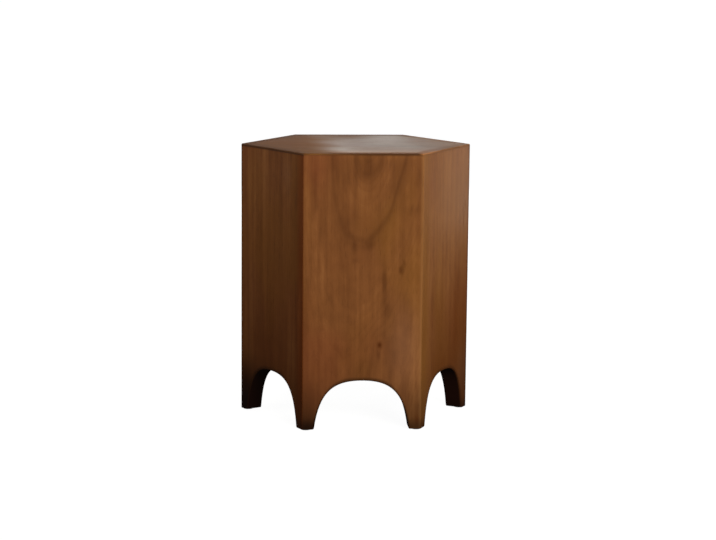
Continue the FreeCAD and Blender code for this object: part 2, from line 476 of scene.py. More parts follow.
panels = [panel]
for i, name in enumerate(PANEL_NAMES[1:], start=1):
    panels.append(copy_of(panel, "panel_" + name, TURN * i))
for piece, name in zip(panels, PANEL_NAMES):
    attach(piece, "root")
    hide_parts("side_panel_" + name)
print("panels:", [piece.name for piece in panels])

# %% [markdown]
# ## The top
# The top is three boards glued edge to edge, with the grain from left to right. Its edge is cut back at
# forty-five degrees underneath to meet the panels, so that only a thin lip shows. The whole top is shaped
# as one block, with its rim rounded as a hand would sand it, and is then sawn into its boards.

# %% Shape the top and saw it into boards
BOARD_WIDTH = 2 * APOTHEM / len(BOARD_NAMES)
TOP_ROUND_STEPS = 5
LIP_REACH = 0.9

top = six_sided("top_whole", APOTHEM, APOTHEM, UNDER_TOP_Z - CUTTER_OVERRUN, HEIGHT)
edit(top)
round_corners(top)
choose_edges(top, lambda a, b: min(a.z, b.z) > HEIGHT - NEAR)
bpy.ops.mesh.bevel(offset=TOP_ROUND, segments=TOP_ROUND_STEPS, affect="EDGES", clamp_overlap=False)
done()
carve(top, mitre_block(), "INTERSECT")
edit(top)


def lip_edge(a, b):
    """True for the lower edge of the lip, all round."""
    low, high = sorted((a.z, b.z))
    reach = max(abs(p.y) / APOTHEM + abs(p.x) / CORNER_R for p in (a, b))
    at_lip = low > LIP_Z - FILLET_REACH and high < LIP_Z + NEAR
    return at_lip and high - low < NEAR * 5 and reach > LIP_REACH


lips = choose_edges(top, lip_edge)
bpy.ops.mesh.bevel(offset=JOINT_EASE, segments=1, affect="EDGES")
tidy_mesh()
done()

boards = []
for i, name in enumerate(BOARD_NAMES):
    board = copy_of(top, "plank_top_" + name)
    edit(board)
    if i > 0:
        saw((0, -APOTHEM + BOARD_WIDTH * i, 0), (0, -1, 0))
    if i < len(BOARD_NAMES) - 1:
        saw((0, -APOTHEM + BOARD_WIDTH * (i + 1), 0), (0, 1, 0))
    tidy_mesh()
    done()
    smooth_flats(board)
    boards.append(board)
    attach(board, "root")
    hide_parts("top_board_" + name)
bpy.data.objects.remove(top)
print("top boards:", [(b.name, len(b.data.polygons)) for b in boards], "lip edges", lips)

# %% [markdown]
# ## The felt pads
# A thin round of pressed felt is stuck under each foot. A plain disc would have a hard machined edge, so
# the disc's rims are rolled over, its faces are divided into rings, and its surface is pushed about a
# little with a cloud pattern, as cut felt is.

# %% Roll the edges of a felt pad
PAD_SIDES = 64
PAD_EDGE = 0.0006
PAD_EDGE_STEPS = 3
PAD_RINGS = 4
PAD_FUZZ = 0.00025
FELT_LUMP = 0.0012

pad_low, pad_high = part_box("foot_pad_right")
PAD_MIDDLE = (pad_low + pad_high) / 2
PAD_R = (pad_high.x - pad_low.x) / 2
bpy.ops.object.select_all(action="DESELECT")
bpy.ops.mesh.primitive_cylinder_add(
    vertices=PAD_SIDES, radius=PAD_R - PAD_FUZZ, depth=pad_high.z - pad_low.z, location=PAD_MIDDLE
)
pad = bpy.context.object
pad.name = "felt_right"
bpy.ops.object.transform_apply()
edit(pad)
choose_edges(pad, lambda a, b: abs(a.z - b.z) < NEAR)
bpy.ops.mesh.bevel(offset=PAD_EDGE, segments=PAD_EDGE_STEPS, affect="EDGES")
choose_faces(pad, lambda middle, normal: abs(normal.z) > 0.999)
for ring in range(PAD_RINGS):
    bpy.ops.mesh.inset(thickness=PAD_R / (PAD_RINGS + 2), depth=0)
done()
felt_lumps = bpy.data.textures.new("felt_lumps", "CLOUDS")
felt_lumps.noise_scale = FELT_LUMP
lumps = pad.modifiers.new("lumps", "DISPLACE")
lumps.texture = felt_lumps
lumps.texture_coords = "LOCAL"
lumps.strength = PAD_FUZZ
lumps.mid_level = 1.0
bpy.ops.object.modifier_apply(modifier=lumps.name)
bpy.ops.object.shade_smooth()

pads = []
for i, name in enumerate(CORNER_NAMES):
    copy = copy_of(pad, "felt_pad_" + name, TURN * (i - 1))
    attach(copy, "root")
    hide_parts("foot_pad_" + name)
    pads.append(copy)
bpy.data.objects.remove(pad)
print("pads:", [p.name for p in pads], len(pads[0].data.polygons), "faces each")

# %% [markdown]
# ## Finishes
# A finish is a small calculation at each point of a surface: how far is this point from the heart of the
# tree, is it near a worn edge, does a pore open here. Linked by hand, that is a wall of nodes, hard to
# read, so a small class carries one value through the nodes, and sums in Python add the Math nodes.

# %% A value on its way through a material
class Shade:
    """A value on its way through a material. Arithmetic on values adds Math nodes."""

    def __init__(self, tree, socket):
        self.tree = tree
        self.socket = socket

    def node(self, kind, settings, inputs, out=0):
        """Adds any node: its type, its settings, what its sockets take, and which socket comes out."""
        made = self.tree.nodes.new("ShaderNode" + kind)
        for name, value in settings.items():
            if name == "stops":
                for extra in value[2:]:
                    made.color_ramp.elements.new(extra[0])
                for stop, (position, colour) in zip(made.color_ramp.elements, sorted(value)):
                    stop.position, stop.color = position, colour
            else:
                setattr(made, name, value)
        for name, value in inputs.items():
            if isinstance(value, Shade):
                self.tree.links.new(value.socket, made.inputs[name])
            else:
                made.inputs[name].default_value = value
        return Shade(self.tree, made.outputs[out])

    def math(self, operation, *others):
        """A Math node whose first number is this value."""
        return self.node("Math", {"operation": operation}, dict(enumerate((self, *others))))

    def __add__(self, other):
        return self.math("ADD", other)

    def __sub__(self, other):
        return self.math("SUBTRACT", other)

    def __rsub__(self, other):
        return self.node("Math", {"operation": "SUBTRACT"}, {0: other, 1: self})

    def __mul__(self, other):
        return self.math("MULTIPLY", other)

    def __pow__(self, power):
        return self.math("POWER", power)

    def __abs__(self):
        return self.math("ABSOLUTE")

    __radd__ = __add__
    __rmul__ = __mul__

    def squared(self):
        """This value times itself."""
        return self * self

    def rise(self, low, high):
        """0 at low, 1 at high, with a soft start and end. Low may be the larger of the two."""
        settings = {"interpolation_type": "SMOOTHSTEP"}
        return self.node("MapRange", settings, {"Value": self, "From Min": low, "From Max": high})

    def bell(self, centre, width):
        """1 at the centre, falling to nothing a few widths away."""
        return (((self - centre) * (1 / width)).squared() * -1).math("EXPONENT")

    def moved(self, *offset):
        """A vector moved by an offset."""
        return self.node("VectorMath", {"operation": "ADD"}, {0: self, 1: offset})

    def split(self):
        """The three numbers of a vector."""
        return [self.node("SeparateXYZ", {}, {0: self}, out=i) for i in range(3)]

    def noise(self, *scale, detail=2.0, rough=0.5):
        """Noise with so many lumps to the metre along each axis of a vector."""
        stretched = self.node("VectorMath", {"operation": "MULTIPLY"}, {0: self, 1: scale})
        inputs = {"Vector": stretched, "Scale": 1.0, "Detail": detail, "Roughness": rough}
        return self.node("TexNoise", {"noise_dimensions": "3D"}, inputs)

    def noise_along(self, scale):
        """Noise along one number, with so many lumps to the metre."""
        inputs = {"W": self * scale, "Scale": 1.0, "Detail": 2.0}
        return self.node("TexNoise", {"noise_dimensions": "1D"}, inputs)

    def colours(self, *stops):
        """A colour from a ramp, for a value from 0 to 1."""
        return self.node("ValToRGB", {"stops": stops}, {0: self})

    def over(self, colour, paint):
        """A colour with paint laid over it as thickly as this value says, from 0 to 1."""
        return self.node("Mix", {"data_type": "RGBA"}, {0: self, 6: colour, 7: paint}, out=2)


print("a value can:", ", ".join(name for name in vars(Shade) if not name.startswith("_")))

# %% [markdown]
# Every finish starts the same way: a new material that reads its place on the piece in metres, turned
# and moved so that the grain runs the board's own way. Colours could be typed in as light, but they are
# easier to pick as a screen shows them, so a helper turns one into the other.

# %% Start a finish
def srgb(red, green, blue):
    """A colour as a screen shows it, from 0 to 255, as the light that a material reflects."""
    parts = [v / 255 for v in (red, green, blue)]
    return (*[p / 12.92 if p <= 0.04045 else ((p + 0.055) / 1.055) ** 2.4 for p in parts], 1.0)


def new_finish(name, turn=(0, 0, 0), place=(0, 0, 0)):
    """A material, its surface shader, and a place on the piece, turned first and then moved."""
    material = bpy.data.materials.new(name)
    material.use_nodes = True
    tree = material.node_tree
    surface = tree.nodes["Principled BSDF"]
    coordinates = Shade(tree, tree.nodes.new("ShaderNodeTexCoord").outputs["Object"])
    inputs = {"Vector": coordinates, "Rotation": turn, "Location": place}
    return material, surface, coordinates.node("Mapping", {"vector_type": "POINT"}, inputs)


def plug(surface, socket, shade):
    """Feeds a value into a socket of the surface shader."""
    shade.tree.links.new(shade.socket, surface.inputs[socket])


def emboss(surface, height, strength, distance):
    """Feeds a height into the surface as fine relief."""
    inputs = {"Height": height, "Strength": strength, "Distance": distance}
    plug(surface, "Normal", height.node("Bump", {}, inputs))


def dress(piece, material):
    """Gives a piece one material, in place of any that it has."""
    piece.data.materials.clear()
    piece.data.materials.append(material)


print("brown on screen", [round(v, 3) for v in srgb(118, 72, 37)])

# %% [markdown]
# ### The stage
# The sweep is a little self-lit, like a light table: white far away, and just under white round the
# table, where the lamps add the rest and the table's soft shadow can still show.

# %% Finish the stage
STAGE_COLOUR = (0.16, 0.16, 0.158, 1)
STAGE_ROUGHNESS = 0.9
GLOW_NEAR = (0.95, 0.95, 0.95, 1)
GLOW_FAR = (1.0, 1.0, 1.0, 1)
GLOW_FADE = (0.3, 3.2)

stage_paint, paint, place = new_finish("stage_paint")
far = place.node("VectorMath", {"operation": "LENGTH"}, {0: place}, out="Value").rise(*GLOW_FADE)
plug(paint, "Emission Color", far.colours((0.0, GLOW_NEAR), (1.0, GLOW_FAR)))
paint.inputs["Emission Strength"].default_value = 1.0
paint.inputs["Base Color"].default_value = STAGE_COLOUR
paint.inputs["Roughness"].default_value = STAGE_ROUGHNESS
paint.inputs["Specular IOR Level"].default_value = 0.0
dress(stage, stage_paint)
print(stage_paint.name, len(stage_paint.node_tree.nodes), "nodes")

# %% [markdown]
# ### The figure of the wood
# A plank shows the growth rings of the tree where the saw crossed them. Stripes painted on the faces
# would not meet at the edges, so the rings are worked out in the solid: a ring is all the wood at one
# distance from the heart of the tree. The heart runs close under the face at one end of a board and sinks
# away along it, and that draws the nested arches of the front panel. Fibres and pores run along the
# board. Soft marks and tints stand partly for the chances of the real log and partly for painted light
# and shade.

# %% Mix the tones and patterns of the wood
WOOD_PALE = srgb(150, 99, 55)
WOOD_MID = srgb(122, 75, 39)
WOOD_DEEP = srgb(96, 56, 27)
WOOD_GOLD = srgb(128, 82, 31)
WOOD_RED = srgb(122, 66, 37)
WOOD_GREY_AND_SHEEN = srgb(150, 110, 86)
WOOD_LINE = srgb(72, 39, 17)
WOOD_KNOT = srgb(78, 38, 12)
WOOD_PORE = srgb(50, 27, 12)

# How many lumps each pattern has to the metre across, through and along a board.
WANDERINGS = (9, 9, 3)
RIPPLES = (55, 55, 8)
FIBRES = (620, 620, 20)
STREAKS = (110, 110, 3.4)
BROAD_STREAKS = (34, 34, 3.0)
CLOUDS = (9, 9, 5)
MOTTLES = (75, 75, 45)
PORES = (1300, 1300, 50)
GOLD_PATCHES = (11, 7, 4)
RED_PATCHES = (7, 13, 5)

# How far the rings stray, how many bands and years they make to the metre, and the years a band shifts.
WANDER = 0.020
RIPPLE = 0.0045
BANDS = 40
YEARS = 165
BAND_SHIFT = 3

SEED_STEP = (1.37, 0.71, 2.13)
COAT_ROUGHNESS = 0.30
WOOD_SPECULAR = 0.38
GRAIN_RELIEF = 0.22
GRAIN_DEPTH = 0.0004
print("wood tones:", [[round(c, 3) for c in tone[:3]] for tone in (WOOD_PALE, WOOD_MID, WOOD_DEEP)])

# %% [markdown]
# One class grows every board of the table. It first finds how far each point lies from the heart, then
# makes bands and years of that distance, and then lays fibres, streaks, stains and pores over them. What
# is particular to a board is handed in as lists of places, so no two boards need be alike.

# %% Grow the wood
def spot(across, along, at_across, at_along, width, length):
    """1 at one point of a board's face, falling to nothing around it."""
    sideways = ((across - at_across) * (1 / width)).squared()
    lengthways = ((along - at_along) * (1 / length)).squared()
    return ((sideways + lengthways) * -1).math("EXPONENT")


class Wood:
    """The wood at a place in a board, where x is across the board, y is the depth and z runs along it.

    The heart of the tree lies at heart_across, meets the face at heart_along, and sinks away from there
    along the board at a slope, to a depth of at most sink, leaning sideways as it goes. Lines are rings
    that stand out: their distance from the heart, width and strength. Bends push the rings towards the
    heart at a place: across, along, width, length and by how much. Marks are soft patches, paler or
    darker: across, along, width, length and strength. Tints are the same with a colour. Knots are across,
    along and radius. Tone makes the whole board paler or darker, contrast is that of the straight figure,
    and years that of the fine yearly lines.
    """

    def __init__(
        self, place, seed, heart_across, heart_along, slope, sink, lean=0.0, tone=0.0, contrast=1.0,
        years=0.14, lines=(), bends=(), marks=(), tints=(), knots=(),
    ):
        across, depth, along = place.split()
        inside = place.moved(*[step * seed for step in SEED_STEP])
        wander = inside.noise(*WANDERINGS) - 0.5
        ripple = inside.noise(*RIPPLES) - 0.5
        above = heart_along - along
        below = (above * (slope / sink)).math("TANH") * sink + depth
        beside = across - heart_across + above * lean + wander * WANDER
        ring = (beside.squared() + below.squared()) ** 0.5 + ripple * RIPPLE
        for *at, push in bends:
            ring = ring + spot(across, along, *at) * push
        core = None
        for *at, radius in knots:
            ring = ring + spot(across, along, *at, 5 * radius, 8 * radius) * (2 * radius)
            eye = spot(across, along, *at, radius, 1.3 * radius)
            core = eye if core is None else core + eye

        bands = ring.noise_along(BANDS)
        year = (ring * YEARS + bands * BAND_SHIFT).math("FRACT")
        late = year.rise(0.45, 0.93) * year.rise(1.0, 0.95) * bands.rise(0.35, 0.6)
        fibre = inside.noise(*FIBRES, detail=3, rough=0.6)
        streak = inside.noise(*STREAKS, detail=2.5)
        broad = inside.noise(*BROAD_STREAKS)
        cloud = inside.noise(*CLOUDS)
        mottle = inside.noise(*MOTTLES, detail=3)
        pore = inside.noise(*PORES, detail=1).rise(0.62, 0.76)

        figure = (streak - 0.5) * 0.54 + (broad - 0.5) * 0.54 + (bands - 0.5) * 0.35
        soft = (mottle - 0.5) * 0.30 + (cloud - 0.5) * 0.55
        light = 0.5 + tone + figure * contrast + soft + (fibre - 0.5) * 0.17 - late * years
        for *at, strength in marks:
            light = light + spot(across, along, *at) * strength
        self.colour = light.colours((0.16, WOOD_DEEP), (0.50, WOOD_MID), (0.86, WOOD_PALE))
        self.paint(inside.noise(*GOLD_PATCHES).rise(0.48, 0.72) * 0.45, WOOD_GOLD)
        self.paint(inside.noise(*RED_PATCHES).rise(0.50, 0.74) * 0.40, WOOD_RED)
        for *at, strength, tint in tints:
            self.paint(spot(across, along, *at) * strength, tint)
        for radius, width, strength in lines:
            stain = ring.bell(radius, width) + ring.bell(radius - 2 * width, 3 * width) * 0.45
            self.paint(stain * streak.rise(0.10, 0.58) * strength, WOOD_LINE)
        if core is not None:
            self.paint(core * 0.95, WOOD_KNOT)
        self.paint(pore * 0.40, WOOD_PORE)
        self.height = fibre * 0.5 + streak * 0.3 - pore * 0.8 - late * 0.15
        self.rough = 0.42 + (fibre - 0.5) * 0.18 + pore * 0.2 + (cloud - 0.5) * 0.15
        self.place = across, depth, along

    def paint(self, mask, paint):
        """Lays paint over the wood as thickly as the mask says."""
        self.colour = mask.over(self.colour, paint)

    def finish(self, surface, coat):
        """Feeds the wood into a surface under a thin satin coat, which may vary."""
        plug(surface, "Base Color", self.colour)
        plug(surface, "Roughness", self.rough)
        if isinstance(coat, Shade):
            plug(surface, "Coat Weight", coat)
        else:
            surface.inputs["Coat Weight"].default_value = coat
        surface.inputs["Coat Roughness"].default_value = COAT_ROUGHNESS
        surface.inputs["Specular IOR Level"].default_value = WOOD_SPECULAR
        emboss(surface, self.height, GRAIN_RELIEF, GRAIN_DEPTH)


print("wood can:", ", ".join(name for name in vars(Wood) if not name.startswith("_")))

# %% [markdown]
# ### The panels
# The panels have been handled: the corner at the front's right is rubbed a little paler and also carries
# a painted highlight, while the other corners have darkened. Painted shade darkens the side panels
# towards the floor, the feet, the rims of the arches and the corner at the front's left. A dark line of
# finish has gathered in the joint under the lip. Inside, the wood was never polished, and it is painted
# nearly black as painted shade. Wear could be painted by hand, but each kind keeps to a height, an edge
# or a depth, so a few numbers say where it fades in and how strong it is.

# %% Measure the wear of the panels
LOWER_SHADE_AMBER = srgb(86, 42, 6)
# Dark brown for grime on the corners and for painted shade at the feet, the arches and the front left
# corner.
GRIME_AND_SHADE = srgb(28, 14, 7)
JOINT_DARK = srgb(30, 16, 9)
INSIDE_RAW_AND_SHADE = srgb(24, 10, 7)
# Amber, for a real spot and for painted shade at the front left corner and low on the side panels.
AMBER_AND_SHADE = srgb(100, 42, 2)
PALE_WEAR_AND_HIGHLIGHT = srgb(152, 108, 64)

# Where the painted shade fades in: by height, by nearness to the arch, and by depth below the face.
LOWER_SHADE_FADE = (0.285, 0.04)
FOOT_SHADE_FADE = (0.118, 0.01)
TIP_FADE = (0.024, 0.004)
ARCH_FADE = (1.15, 1.0)
ARCH_POWERS = (3.10, 1.55)
RAW_FADE = (0.0008, 0.0040)
JOINT_WIDTH = 0.0016

# Where a panel's left goes over into its right, and where polish comes up, across and along.
MIDDLE_FADE = (-0.035, 0.035)
POLISH_ACROSS = (-0.06, 0.09)
POLISH_ALONG = (0.18, 0.36)

# How strong each is on a panel: all over, or at its left and at its right. The back panels are alike.
# Painted shade low on the side panels, darker and more amber towards the floor; the front hardly has it.
LOWER_SHADE = {"front": 0.05, "front_right": 0.64, "front_left": 0.6}
BACK_LOWER_SHADE = 0.3
# Painted shade with some grime at the feet, at a panel's left and at its right.
FOOT_GRIME_AND_SHADE = {"front": (0.56, 0.52), "front_right": (0.28, 0.24), "front_left": (0.99, 0.40)}
BACK_FOOT_GRIME_AND_SHADE = (0.75, 0.75)
# Painted shade at the very tips of the feet, where they meet the floor.
TIP_SHADE = 0.60
# Painted shade round the rims of the arches.
ARCH_SHADE = {"front": 0.75, "front_right": 0.45, "front_left": 0.60}
BACK_ARCH_SHADE = 0.75
JOINT_LINE = {"front": (0.12, 0.40), "front_right": (0.20, 0.20), "front_left": (0.65, 0.60)}
BACK_LINE = (0.85, 0.85)

# The weight of the coat, and the least and most where it varies.
PANEL_COAT = 0.10
PANEL_POLISH = {"front_right": (0.04, 0.16)}

# Edges: the side, the paint, how far in from the corner it starts and is full, and its strength.
PANEL_EDGES = {
    # Paler along the front right corner: wear, with a painted highlight.
    "front": ((1, PALE_WEAR_AND_HIGHLIGHT, 0.005, 0.001, 0.3),),
    "front_right": (
        (-1, WOOD_GOLD, 0.04, 0.012, 0.5),
        # Wear with a painted highlight on the front right corner.
        (-1, PALE_WEAR_AND_HIGHLIGHT, 0.005, 0.001, 0.25),
        (1, GRIME_AND_SHADE, 0.007, 0.001, 0.46),
    ),
    # Painted shade: a dark amber band on the left panel along the front left corner.
    "front_left": ((1, AMBER_AND_SHADE, 0.026, 0.006, 0.68), (-1, GRIME_AND_SHADE, 0.007, 0.001, 0.4)),
}
BACK_EDGES = ((-1, GRIME_AND_SHADE, 0.006, 0.001, 0.3), (1, GRIME_AND_SHADE, 0.006, 0.001, 0.3))
print("panels with edges of their own:", ", ".join(PANEL_EDGES))

# %% [markdown]
# The front panel is flat-sawn: its arches open upwards, and below them the grain runs straight. The
# panels on either side are sawn nearer to the quarter, so their lines stand upright. Rings alone would be
# too even, so soft marks make these boards paler and darker by place, partly as the real ones are and
# partly as painted light and shade. The panels behind are plainer boards of the same wood, with a few
# dark rings and a knot.

# %% Choose the boards of the panels
FRONT = dict(
    lines=((0.065, 0.003, 0.34), (0.0285, 0.005, 0.11), (0.072, 0.005, 0.1)),
    bends=((-0.012, 0.31, 0.016, 0.024, 0.0045), (0.06, 0.42, 0.018, 0.045, 0.004)),
    marks=(
        (0.008, 0.456, 0.02, 0.022, -0.32),
        (0.003, 0.435, 0.009, 0.01, -0.16),
        (0.016, 0.425, 0.011, 0.028, -0.15),
        (0.017, 0.398, 0.011, 0.022, -0.11),
        (0.0435, 0.453, 0.01, 0.012, -0.09),
        (0.075, 0.465, 0.03, 0.008, 0.14),
        (-0.035, 0.45, 0.02, 0.024, -0.14),
        (-0.0805, 0.418, 0.005, 0.048, -0.42),
        (-0.089, 0.433, 0.007, 0.018, -0.09),
        (-0.0625, 0.392, 0.01, 0.02, -0.08),
        (-0.023, 0.42, 0.012, 0.022, -0.08),
        (-0.054, 0.195, 0.016, 0.085, -0.08),
        (0.002, 0.34, 0.032, 0.075, 0.18),
        (0.042, 0.365, 0.012, 0.025, 0.1),
        (0.088, 0.35, 0.015, 0.095, -0.13),
        (0.0813, 0.3741, 0.01, 0.009, -0.14),
        (-0.014, 0.3155, 0.0055, 0.012, -0.22),
        (-0.013, 0.29, 0.007, 0.005, -0.12),
        (0.009, 0.3165, 0.009, 0.01, -0.24),
        (0.0699, 0.285, 0.003, 0.006, -0.3),
        (0.065, 0.2745, 0.0036, 0.006, -0.6),
        (0.0366, 0.256, 0.0045, 0.014, -0.28),
        (0.0375, 0.23, 0.007, 0.03, -0.14),
        (0.043, 0.206, 0.0065, 0.014, -0.28),
        (0.033, 0.178, 0.01, 0.022, -0.11),
        (-0.068, 0.268, 0.0045, 0.055, 0.24),
        (-0.0615, 0.185, 0.004, 0.04, 0.12),
        # Painted shade at the front left corner, low down.
        (-0.094, 0.072, 0.008, 0.045, -0.2),
        # Painted shade along the front left corner, on the front panel.
        (-0.1, 0.17, 0.0065, 0.11, -0.3),
        (-0.1, 0.36, 0.004, 0.11, -0.12),
        (0.0045, 0.225, 0.022, 0.05, 0.17),
        (-0.037, 0.195, 0.022, 0.05, -0.08),
        (-0.004, 0.125, 0.045, 0.045, -0.12),
        (-0.06, 0.11, 0.018, 0.03, -0.12),
        (-0.034, 0.133, 0.012, 0.022, -0.11),
        (0.007, 0.13, 0.011, 0.012, 0.1),
        (0.061, 0.128, 0.011, 0.012, -0.09),
        (0.066, 0.15, 0.017, 0.06, 0.12),
        (0.0279, 0.1297, 0.0035, 0.01, -0.25),
        # Painted shade at the front left foot.
        (-0.091, 0.022, 0.016, 0.045, -0.34),
    ),
    tints=(
        (-0.076, 0.44, 0.02, 0.045, 0.3, WOOD_RED),
        (0.046, 0.355, 0.02, 0.04, 0.28, WOOD_GOLD),
        (0.072, 0.14, 0.028, 0.07, 0.16, WOOD_GREY_AND_SHEEN),
        # Painted shade: the tip of the front left foot nearly black.
        (-0.09, 0.0, 0.03, 0.019, 0.9, GRIME_AND_SHADE),
        (0.0955, 0.017, 0.005, 0.009, 0.55, AMBER_AND_SHADE),
        (0.0645, 0.274, 0.0032, 0.005, 0.4, WOOD_KNOT),
    ),
    knots=((0.0294, 0.1468, 0.0044),),
    lean=0.099,
    years=0.05,
)
FRONT_RIGHT = dict(
    marks=(
        (0.0, 0.25, 0.12, 0.17, 0.24),
        (0.0, 0.345, 0.12, 0.05, 0.1),
        (-0.045, 0.35, 0.025, 0.045, 0.08),
        (-0.078, 0.095, 0.024, 0.055, 0.62),
        (0.055, 0.235, 0.03, 0.075, -0.16),
        (0.02, 0.385, 0.06, 0.045, -0.07),
        (0.057, 0.405, 0.028, 0.05, -0.09),
        (-0.02, 0.15, 0.045, 0.05, 0.17),
    ),
    tints=(
        # The upper part of the right panel paler, partly as painted sheen.
        (0.03, 0.4, 0.09, 0.09, 0.3, PALE_WEAR_AND_HIGHLIGHT),
        # Painted shade: the lower part of the right panel darker and more amber.
        (0.0, 0.14, 0.15, 0.08, 0.22, AMBER_AND_SHADE),
        (0.055, 0.17, 0.055, 0.09, 0.42, AMBER_AND_SHADE),
        (0.085, 0.02, 0.035, 0.06, 0.42, GRIME_AND_SHADE),
        (0.085, 0.06, 0.025, 0.045, 0.22, WOOD_GREY_AND_SHEEN),
    ),
    contrast=0.85,
)
FRONT_LEFT = dict(
    marks=(
        (0.03, 0.29, 0.06, 0.07, -0.15),
        (0.055, 0.28, 0.01, 0.05, -0.1),
        (-0.035, 0.36, 0.012, 0.12, -0.08),
        (-0.05, 0.25, 0.017, 0.14, 0.2),
        (-0.072, 0.4, 0.012, 0.05, 0.2),
        (-0.078, 0.13, 0.02, 0.08, 0.18),
        (0.074, 0.31, 0.01, 0.085, -0.15),
        # A paler patch that eases the painted shade of the front left corner low down.
        (0.091, 0.2, 0.008, 0.065, 0.3),
    ),
    tints=(
        # Painted shade: the lower part of the left panel darker and more amber.
        (0.0, 0.2, 0.2, 0.14, 0.16, AMBER_AND_SHADE),
        # Painted reflection: a greyish sheen patch high on the left panel, where the lamp would be
        # mirrored.
        (0.049, 0.429, 0.014, 0.03, 0.16, WOOD_GREY_AND_SHEEN),
        (-0.015, 0.115, 0.035, 0.022, 0.18, WOOD_RED),
        # Painted shade: the left foot darker.
        (-0.085, 0.045, 0.026, 0.038, 0.95, GRIME_AND_SHADE),
    ),
    contrast=1.25,
)
BACK = dict(lines=((0.03, 0.003, 0.28), (0.062, 0.0022, 0.32), (0.1, 0.0025, 0.18)))
BACK_LEFT = dict(lines=((0.07, 0.0022, 0.26), (0.1, 0.0025, 0.2)))
BACK_RIGHT = dict(knots=((-0.035, 0.3, 0.0026),))

FIGURES = (FRONT, FRONT_RIGHT, BACK_RIGHT, BACK, BACK_LEFT, FRONT_LEFT)
PANEL_FIGURES = dict(zip(PANEL_NAMES, FIGURES))

# The seed of each panel, the heart of its log across and along, the slope of the heart and its sink.
PANEL_HEARTS = {
    "front": (3.0, 0.0118, 0.5074, 0.369, 0.15),
    "front_right": (7.3, -0.155, 0.6, 0.16, 0.06),
    "back_right": (11.9, 0.12, 0.1, 0.22, 0.07),
    "back": (16.1, -0.015, 0.03, -0.42, 0.09),
    "back_left": (21.7, -0.06, 0.52, 0.3, 0.09),
    "front_left": (26.2, 0.17, 0.55, 0.14, 0.06),
}
print("marks on the boards:", [len(figure.get("marks", ())) for figure in FIGURES])

# %% [markdown]
# The wear and the painted shade are laid over the wood in this order: the painted shade low on the side
# panels, the edges, the painted shade at the feet and round the arch, the line in the joint, and last the
# raw wood inside, painted nearly black, which hides nearly all of it.
# Only the right panel has a polish that varies, brightest high up and towards the right.

# %% Finish the panels
def between(across, left, right):
    """A value that goes over from one at the left of a panel to another at its right."""
    return left + across.rise(*MIDDLE_FADE) * (right - left)


def finish_panel(piece, name, turn):
    """Stained wood on one panel, worn where hands reach it, with painted shade low down and inside."""
    material, surface, place = new_finish("stained_panel_" + name, (0, 0, -turn), (0, APOTHEM, 0))
    wood = Wood(place, *PANEL_HEARTS[name], **PANEL_FIGURES[name])
    across, depth, along = wood.place
    arch_across = abs(across * (1 / ARCH_HALF_WIDTH)) ** ARCH_POWERS[0]
    arch_along = abs((along - FOOT_Z) * (1 / ARCH_RISE)) ** ARCH_POWERS[1]
    from_arch = arch_across + arch_along
    foot_grime_and_shade = between(across, *FOOT_GRIME_AND_SHADE.get(name, BACK_FOOT_GRIME_AND_SHADE))
    joint_line = between(across, *JOINT_LINE.get(name, BACK_LINE))

    # Painted shade: the side panels darker and more amber towards the floor, where less light falls.
    wood.paint(along.rise(*LOWER_SHADE_FADE) * LOWER_SHADE.get(name, BACK_LOWER_SHADE), LOWER_SHADE_AMBER)
    for side, paint, start, full, strength in PANEL_EDGES.get(name, BACK_EDGES):
        wood.paint((across * side).rise(SIDE / 2 - start, SIDE / 2 - full) * strength, paint)
    # Painted shade with some grime: the feet darker towards the floor.
    wood.paint(along.rise(*FOOT_SHADE_FADE) * foot_grime_and_shade, GRIME_AND_SHADE)
    # Painted shade: the tips of the feet darkest at the floor.
    wood.paint(along.rise(*TIP_FADE) * TIP_SHADE, GRIME_AND_SHADE)
    # Painted shade: a dark band round the rim of the arch, beside its shaded underside.
    wood.paint(from_arch.rise(*ARCH_FADE) * ARCH_SHADE.get(name, BACK_ARCH_SHADE), GRIME_AND_SHADE)
    wood.paint(along.bell(LIP_Z, JOINT_WIDTH) * joint_line, JOINT_DARK)
    # The inner faces: raw, rougher wood, painted nearly black as painted shade.
    inside = depth.rise(*RAW_FADE)
    wood.paint(inside * 0.92, INSIDE_RAW_AND_SHADE)
    wood.rough = wood.rough + inside * 0.35
    coat = PANEL_COAT
    if name in PANEL_POLISH:
        low, high = PANEL_POLISH[name]
        polish = across.rise(*POLISH_ACROSS) * along.rise(*POLISH_ALONG) * (high - low)
        wood.rough = wood.rough - polish
        coat = low + polish
    wood.finish(surface, coat)
    dress(piece, material)
    return material


for i, (piece, name) in enumerate(zip(panels, PANEL_NAMES)):
    made = finish_panel(piece, name, TURN * i)
    print(made.name, len(made.node_tree.nodes), "nodes")

# %% [markdown]
# ### The top
# The top's grain runs from left to right, and each of its three boards comes from another place in the
# log. It has the most polish of all, so that at a low angle it mirrors the light behind it, but its left
# part is rubbed dull, and patches of the rest shine more or less. Along the front it is worn paler, and
# this paint, like a paler band at the left, also stands for part of the sheen as a painted reflection.
# Round the rim it is dull and painted darker, less so at the right and near the front left corner. The
# glue lines hardly show.

# %% Measure the wear of the top
TOP_TURN = (math.pi / 2, -math.pi / 2, 0)
TOP_TONE = -0.12
WORN_AND_SHEEN = srgb(168, 112, 66)
RUBS = (9, 9, 4)
SMEARS = (45, 45, 28)

# Strips round the rim: how far in from the edge they start and are full.
DULL_STRIP = (0.028, 0.008)
WORN_AND_SHEEN_STRIP = (0.080, 0.020)
DIRTY_STRIP = (0.0035, 0.0010)

# Where the rim is clean, where the polish starts and where it gets less, from left to right.
CLEAN_AT = -0.083
CLEAN_WIDTH = 0.020
CLEAN_RIGHT = (SIDE / 2 - 0.010, SIDE / 2)
DULL_RIGHT = (0.09, 0.13)
POLISH_START = (-0.028, 0.034)
POLISH_LESS = (0.10, 0.22)

